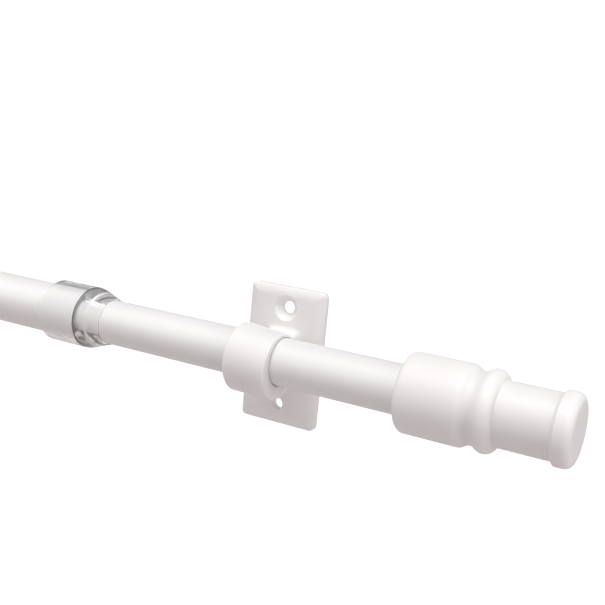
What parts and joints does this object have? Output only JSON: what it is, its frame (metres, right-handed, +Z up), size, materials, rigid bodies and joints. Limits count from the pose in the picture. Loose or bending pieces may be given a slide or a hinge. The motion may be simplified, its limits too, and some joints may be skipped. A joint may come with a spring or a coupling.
{
  "type": "extendable curtain rod",
  "caption": "Extendable curtain rod: telescoping white tubes with a clear collar at the step, a turned finial on each end and ringed wall brackets.",
  "frame": {"origin": "on the wall, at the middle of the right bracket's plate, midway between its two screw holes", "axes": "+X along the rod towards the thin tube's end, +Y into the wall, +Z up"},
  "size_m": [0.8846, 0.0347, 0.0572],
  "materials": {
    "tube_paint": "white powder coat, satin",
    "white_plastic": "moulded, satin",
    "clear_plastic": "clear, polished",
    "glide_plastic": "moulded, natural"
  },
  "bodies": {
    "right_bracket": {"right_bracket": "white_plastic"},
    "inner_rod": {"inner_tube": "tube_paint", "tube_glide": "glide_plastic"},
    "right_finial": {"right_finial": "white_plastic"},
    "outer_rod": {"outer_tube": "tube_paint", "transition_collar": "clear_plastic"},
    "left_finial": {"left_finial": "white_plastic"},
    "left_bracket": {"left_bracket": "white_plastic"}
  },
  "joints": [
    {"name": "rod_shift", "type": "slide", "parent": "right_bracket", "child": "inner_rod", "axis": [1, 0, 0], "range_m": [-0.04, 0.025]},
    {"name": "rod_extension", "type": "slide", "parent": "inner_rod", "child": "outer_rod", "axis": [-1, 0, 0], "range_m": [-0.035, 0.36]},
    {"name": "right_finial_pull", "type": "slide", "parent": "inner_rod", "child": "right_finial", "axis": [1, 0, 0], "range_m": [0, 0.031]},
    {"name": "left_finial_pull", "type": "slide", "parent": "outer_rod", "child": "left_finial", "axis": [-1, 0, 0], "range_m": [0, 0.031]},
    {"name": "left_bracket_shift", "type": "slide", "parent": "outer_rod", "child": "left_bracket", "axis": [1, 0, 0], "range_m": [-0.04, 0.5]}
  ]
}
